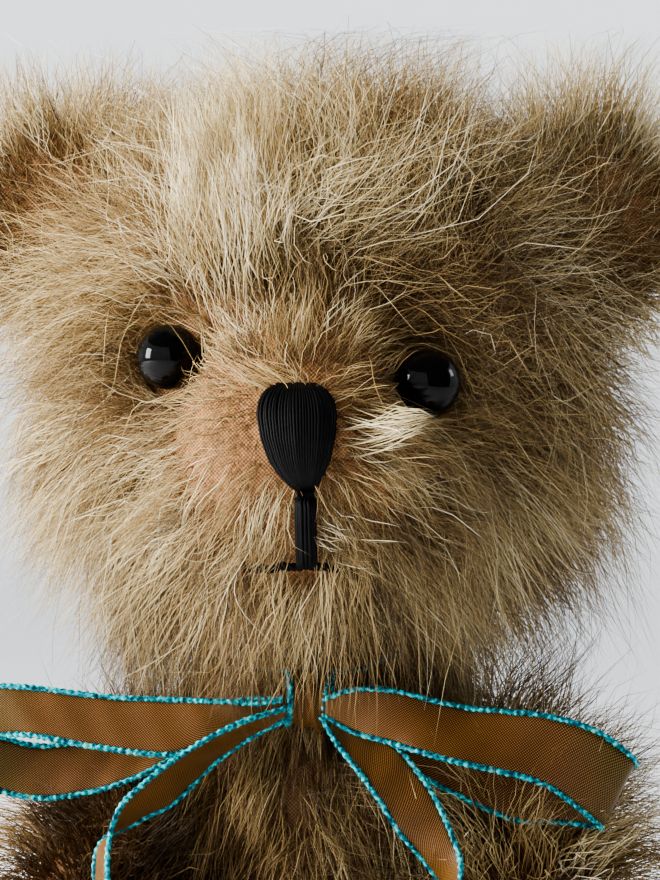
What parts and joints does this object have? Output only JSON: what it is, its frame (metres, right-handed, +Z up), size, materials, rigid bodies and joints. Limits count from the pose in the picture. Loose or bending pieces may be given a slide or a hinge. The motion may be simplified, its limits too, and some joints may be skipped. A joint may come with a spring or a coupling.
{
  "type": "jointed teddy bear",
  "caption": "Sitting mohair teddy bear whose head, arms and legs turn on hidden disc and cotter-pin joints, with glass eyes, a stitched nose and a ribbon bow.",
  "frame": {"origin": "middle of the flat seat under the body, on the surface the bear sits on", "axes": "+Z up through the neck joint, the bear faces -Y, and its own left side is at +X"},
  "size_m": [0.1154, 0.12, 0.1876],
  "materials": {
    "mohair": "long mohair pile on an orange-brown woven backing",
    "stuffing": "loose fibre filling",
    "felt": "short-napped wool felt",
    "hardboard": "pressed wood-fibre board",
    "steel": "plain bright steel",
    "eye_glass": "black polished glass",
    "thread": "black embroidery thread",
    "ribbon": "shot organza, brown with metallic teal edges"
  },
  "bodies": {
    "torso": {"body_cloth": "mohair", "body_stuffing": "stuffing", "neck_disc_fixed": "hardboard", "neck_washer_fixed": "steel", "shoulder_left_disc_fixed": "hardboard", "shoulder_left_washer_fixed": "steel", "hip_left_disc_fixed": "hardboard", "hip_left_washer_fixed": "steel", "shoulder_right_disc_fixed": "hardboard", "shoulder_right_washer_fixed": "steel", "hip_right_disc_fixed": "hardboard", "hip_right_washer_fixed": "steel", "ribbon_knot": "ribbon", "ribbon_collar": "ribbon", "ribbon_loop_left": "ribbon", "ribbon_tail_left": "ribbon", "ribbon_loop_right": "ribbon", "ribbon_tail_right": "ribbon"},
    "head": {"neck_disc_moving": "hardboard", "neck_washer_moving": "steel", "neck_cotter_pin": "steel", "head_cloth": "mohair", "head_stuffing": "stuffing", "eye_left": "eye_glass", "eye_loop_left": "steel", "ear_back_left": "mohair", "ear_front_left": "mohair", "eye_right": "eye_glass", "eye_loop_right": "steel", "ear_back_right": "mohair", "ear_front_right": "mohair", "nose_stitching": "thread", "lip_stitch": "thread", "mouth_stitch_left": "thread", "mouth_stitch_right": "thread"},
    "arm_left": {"arm_cloth_left": "mohair", "arm_stuffing_left": "stuffing", "paw_pad_left": "felt", "shoulder_left_disc_moving": "hardboard", "shoulder_left_washer_moving": "steel", "shoulder_left_cotter_pin": "steel"},
    "leg_left": {"leg_cloth_left": "mohair", "leg_stuffing_left": "stuffing", "foot_pad_left": "felt", "hip_left_disc_moving": "hardboard", "hip_left_washer_moving": "steel", "hip_left_cotter_pin": "steel"},
    "arm_right": {"arm_cloth_right": "mohair", "arm_stuffing_right": "stuffing", "paw_pad_right": "felt", "shoulder_right_disc_moving": "hardboard", "shoulder_right_washer_moving": "steel", "shoulder_right_cotter_pin": "steel"},
    "leg_right": {"leg_cloth_right": "mohair", "leg_stuffing_right": "stuffing", "foot_pad_right": "felt", "hip_right_disc_moving": "hardboard", "hip_right_washer_moving": "steel", "hip_right_cotter_pin": "steel"}
  },
  "joints": [
    {"name": "head_turn", "type": "hinge", "parent": "torso", "child": "head", "pos_m": [0, 0, 0.1066], "axis": [0, 0, 1], "continuous": true},
    {"name": "arm_left_swing", "type": "hinge", "parent": "torso", "child": "arm_left", "pos_m": [0.021, 0, 0.076], "axis": [-1, 0, 0], "range_deg": [-3, 55], "deforming": ["ribbon_loop_left"]},
    {"name": "arm_right_swing", "type": "hinge", "parent": "torso", "child": "arm_right", "pos_m": [-0.021, 0, 0.076], "axis": [-1, 0, 0], "range_deg": [-3, 55], "deforming": ["ribbon_loop_right", "ribbon_tail_right"]},
    {"name": "leg_left_swing", "type": "hinge", "parent": "torso", "child": "leg_left", "pos_m": [0.024, 0, 0.016], "axis": [1, 0, 0], "range_deg": [0, 180]},
    {"name": "leg_right_swing", "type": "hinge", "parent": "torso", "child": "leg_right", "pos_m": [-0.024, 0, 0.016], "axis": [1, 0, 0], "range_deg": [0, 180]}
  ]
}
